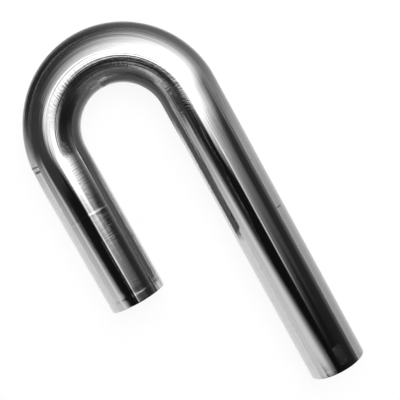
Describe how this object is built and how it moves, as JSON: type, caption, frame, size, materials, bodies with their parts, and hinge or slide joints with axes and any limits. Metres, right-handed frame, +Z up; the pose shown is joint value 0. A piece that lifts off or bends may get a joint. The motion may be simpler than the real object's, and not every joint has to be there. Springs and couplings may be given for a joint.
{
  "type": "return bend",
  "caption": "Round stainless steel tube bent through half a turn, with one short straight leg and one long straight leg, both open and cut square.",
  "frame": {"origin": "under the middle of the part's box, on the surface that the bend lies on", "axes": "+Z up, square to the plane of the bend; the legs run along Y and the crown of the bend points to +Y, with the short leg at -X and the long leg at +X"},
  "size_m": [0.1968, 0.403, 0.0571],
  "materials": {
    "polished_stainless": "mirror polished outside, with fine polishing lines; plain mill finish inside"
  },
  "bodies": {
    "root": {"return_bend": "polished_stainless"}
  },
  "joints": []
}
